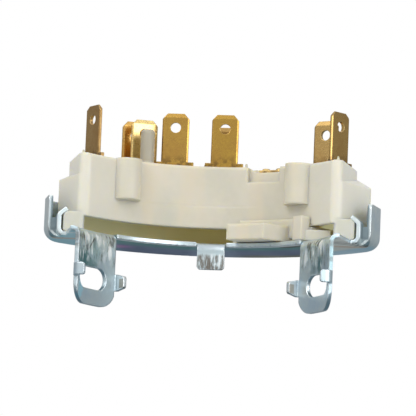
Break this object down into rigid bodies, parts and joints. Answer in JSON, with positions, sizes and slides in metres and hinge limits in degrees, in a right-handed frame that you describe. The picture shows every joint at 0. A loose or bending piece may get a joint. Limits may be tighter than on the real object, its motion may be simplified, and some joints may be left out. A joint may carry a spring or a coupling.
{
  "type": "neutral safety switch",
  "caption": "Neutral safety switch for a steering column: curved ivory nylon housing with upright brass blades, a turning carrier inside, and a folded zinc-plated bracket with slotted ears.",
  "frame": {"origin": "the point on the steering column's axis at the height of the bracket plate's top face", "axes": "+Z along the column's axis, from the bracket's ears towards the tips of the terminals; +Y from the column's axis to the middle of the housing; +X towards the end where the carrier is at rest"},
  "size_m": [0.0786, 0.0452, 0.0487],
  "materials": {
    "zinc_plate": "zinc plated",
    "ivory_nylon": "satin",
    "terminal_brass": "dulled",
    "strip_bronze": "rolled",
    "contact_silver": "polished",
    "spring_steel": "drawn"
  },
  "bodies": {
    "switch_body": {"bracket": "zinc_plate", "housing": "ivory_nylon", "start_feed_terminal": "terminal_brass", "start_relay_terminal": "terminal_brass", "backup_feed_terminal": "terminal_brass", "backup_lamp_terminal": "terminal_brass", "drive_feed_terminal": "terminal_brass", "drive_signal_terminal": "terminal_brass", "low_feed_terminal": "terminal_brass", "low_signal_terminal": "terminal_brass", "feed_link": "terminal_brass", "feed_link_rivet_left": "terminal_brass", "feed_link_rivet_right": "terminal_brass"},
    "turning_carrier": {"carrier": "ivory_nylon", "start_bridge": "strip_bronze", "selector_bridge": "strip_bronze", "start_bridge_buttons": "contact_silver", "selector_bridge_buttons": "contact_silver", "start_spring": "spring_steel", "selector_spring": "spring_steel"}
  },
  "joints": [
    {"name": "carrier_turn", "type": "hinge", "parent": "switch_body", "child": "turning_carrier", "pos_m": [0, 0, 0], "axis": [0, 0, 1], "range_deg": [0, 36]}
  ]
}
